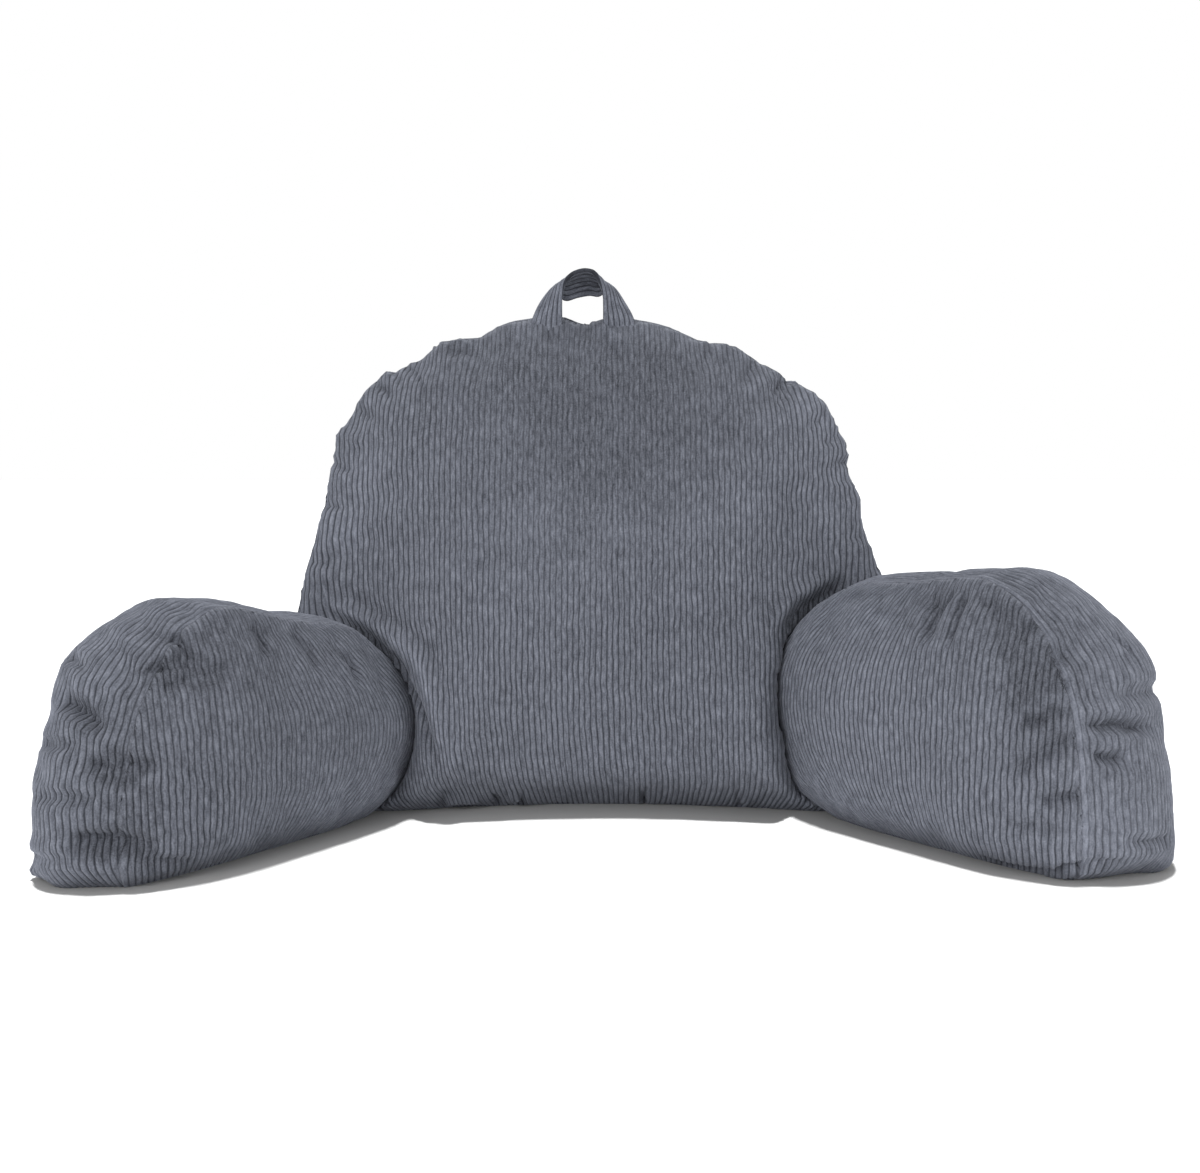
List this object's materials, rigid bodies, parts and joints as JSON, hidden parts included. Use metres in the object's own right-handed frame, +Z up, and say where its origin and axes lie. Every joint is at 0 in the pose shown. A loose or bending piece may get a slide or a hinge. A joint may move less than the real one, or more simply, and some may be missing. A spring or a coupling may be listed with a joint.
{
  "type": "reading pillow with arms",
  "caption": "Filled corduroy back-rest pillow that sits up by itself, with a domed back, splayed boxed arms to hold the sitter and a short carry loop on top.",
  "frame": {"origin": "middle of the footprint's bounding rectangle, on the surface that the pillow rests on", "axes": "+X across the pillow's width, towards the right arm as seen from in front; -Y towards the sitter, so the arms reach forward along -Y; +Z up, towards the carry loop"},
  "size_m": [0.9012, 0.4414, 0.504],
  "materials": {
    "back_corduroy": "wide-wale cotton corduroy, slate blue-grey, wales running up the panel",
    "arm_corduroy": "wide-wale cotton corduroy, slate blue-grey, wales running up the side panels and along the strip",
    "strap_corduroy": "wide-wale cotton corduroy, slate blue-grey, folded and hemmed"
  },
  "bodies": {
    "root": {"back_cushion": "back_corduroy", "arm_left": "arm_corduroy", "arm_right": "arm_corduroy", "handle_strap": "strap_corduroy"}
  },
  "joints": []
}
